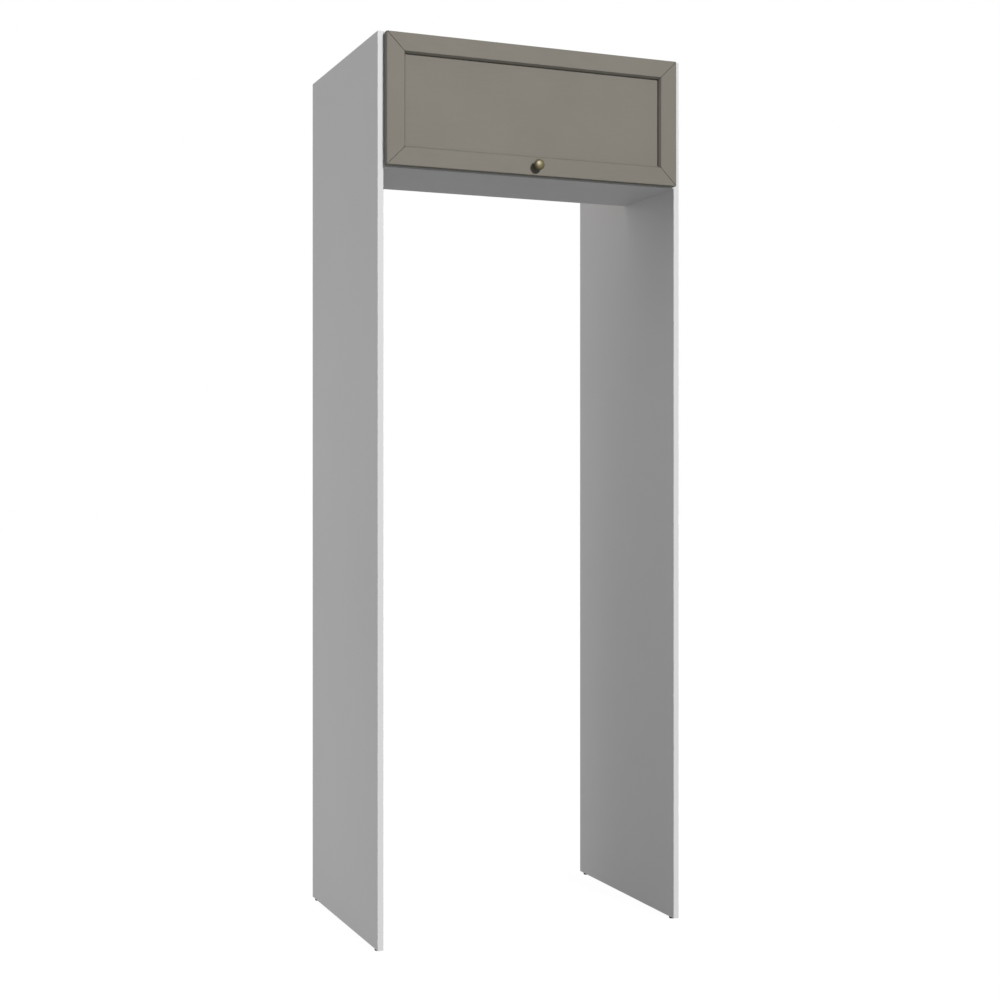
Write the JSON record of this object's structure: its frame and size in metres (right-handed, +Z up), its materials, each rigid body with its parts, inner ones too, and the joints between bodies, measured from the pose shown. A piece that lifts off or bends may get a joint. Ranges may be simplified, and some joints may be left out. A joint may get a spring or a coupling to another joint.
{
  "type": "fridge housing unit",
  "caption": "Tall kitchen housing: floor-standing side panels carry an overhead cupboard with a framed lift-up flap, a knob, cup hinges and gas struts over an open appliance bay.",
  "frame": {"origin": "on the floor, under the middle of the unit's bounding box", "axes": "+Z up, +X to the right as seen from the front, -Y towards the front"},
  "size_m": [0.8306, 0.6258, 2.255],
  "materials": {
    "white_board": "matt white melamine facing",
    "white_hardboard": "matt white coated hardboard",
    "taupe_lacquer": "matt taupe lacquer",
    "antique_brass": "antique brass",
    "nickel_steel": "nickel plated",
    "zinc_steel": "zinc plated",
    "chromed_steel": "polished",
    "black_steel": "black lacquer",
    "black_plastic": "moulded",
    "silicone": "translucent"
  },
  "bodies": {
    "carcass": {"left_side_panel": "white_board", "right_side_panel": "white_board", "glide_front_left": "black_plastic", "glide_front_right": "black_plastic", "glide_rear_left": "black_plastic", "glide_rear_right": "black_plastic", "cupboard_left_side": "white_board", "cupboard_right_side": "white_board", "cupboard_top": "white_board", "cupboard_bottom": "white_board", "cupboard_back": "white_hardboard", "connector_screw_front_left": "zinc_steel", "connector_screw_front_right": "zinc_steel", "connector_screw_rear_left": "zinc_steel", "connector_screw_rear_right": "zinc_steel", "wall_bracket_left": "zinc_steel", "wall_bracket_right": "zinc_steel", "left_hinge_arm": "nickel_steel", "left_hinge_plate": "nickel_steel", "left_hinge_plate_screw_a": "nickel_steel", "left_hinge_plate_screw_b": "nickel_steel", "left_hinge_adjusting_screw": "zinc_steel", "left_hinge_clamping_screw": "zinc_steel", "right_hinge_arm": "nickel_steel", "right_hinge_plate": "nickel_steel", "right_hinge_plate_screw_a": "nickel_steel", "right_hinge_plate_screw_b": "nickel_steel", "right_hinge_adjusting_screw": "zinc_steel", "right_hinge_clamping_screw": "zinc_steel", "left_strut_side_bracket": "zinc_steel", "right_strut_side_bracket": "zinc_steel"},
    "flap": {"door_top_rail": "taupe_lacquer", "door_bottom_rail": "taupe_lacquer", "door_left_stile": "taupe_lacquer", "door_right_stile": "taupe_lacquer", "door_centre_panel": "taupe_lacquer", "knob": "antique_brass", "knob_screw": "zinc_steel", "door_bumper_left": "silicone", "door_bumper_right": "silicone", "left_hinge_cup": "nickel_steel", "left_hinge_cup_screw_a": "nickel_steel", "left_hinge_cup_screw_b": "nickel_steel", "left_hinge_pin": "nickel_steel", "right_hinge_cup": "nickel_steel", "right_hinge_cup_screw_a": "nickel_steel", "right_hinge_cup_screw_b": "nickel_steel", "right_hinge_pin": "nickel_steel", "left_strut_door_bracket": "zinc_steel", "right_strut_door_bracket": "zinc_steel"},
    "left_tube": {"left_strut_tube": "black_steel", "left_strut_guide_bush": "black_plastic", "left_strut_tube_socket": "black_plastic"},
    "left_rod": {"left_strut_rod": "chromed_steel", "left_strut_rod_socket": "black_plastic"},
    "right_tube": {"right_strut_tube": "black_steel", "right_strut_guide_bush": "black_plastic", "right_strut_tube_socket": "black_plastic"},
    "right_rod": {"right_strut_rod": "chromed_steel", "right_strut_rod_socket": "black_plastic"}
  },
  "joints": [
    {"name": "flap_hinge", "type": "hinge", "parent": "carcass", "child": "flap", "pos_m": [0, -0.2831, 2.2454], "axis": [-1, 0, 0], "range_deg": [0, 90]},
    {"name": "left_tube_swing", "type": "hinge", "parent": "carcass", "child": "left_tube", "pos_m": [-0.371, -0.12468, 2.223], "axis": [-1, 0, 0], "range_deg": [0, 45]},
    {"name": "right_tube_swing", "type": "hinge", "parent": "carcass", "child": "right_tube", "pos_m": [0.371, -0.12468, 2.223], "axis": [-1, 0, 0], "range_deg": [0, 45]},
    {"name": "left_rod_swing", "type": "hinge", "parent": "flap", "child": "left_rod", "pos_m": [-0.371, -0.2591, 2.08721], "axis": [1, 0, 0], "range_deg": [0, 45]},
    {"name": "right_rod_swing", "type": "hinge", "parent": "flap", "child": "right_rod", "pos_m": [0.371, -0.2591, 2.08721], "axis": [1, 0, 0], "range_deg": [0, 45]}
  ],
  "couplings": [
    {"joint": "left_tube_swing", "follows": "flap_hinge", "ratio": 0.5},
    {"joint": "right_tube_swing", "follows": "flap_hinge", "ratio": 0.5},
    {"joint": "left_rod_swing", "follows": "flap_hinge", "ratio": 0.5},
    {"joint": "right_rod_swing", "follows": "flap_hinge", "ratio": 0.5}
  ]
}
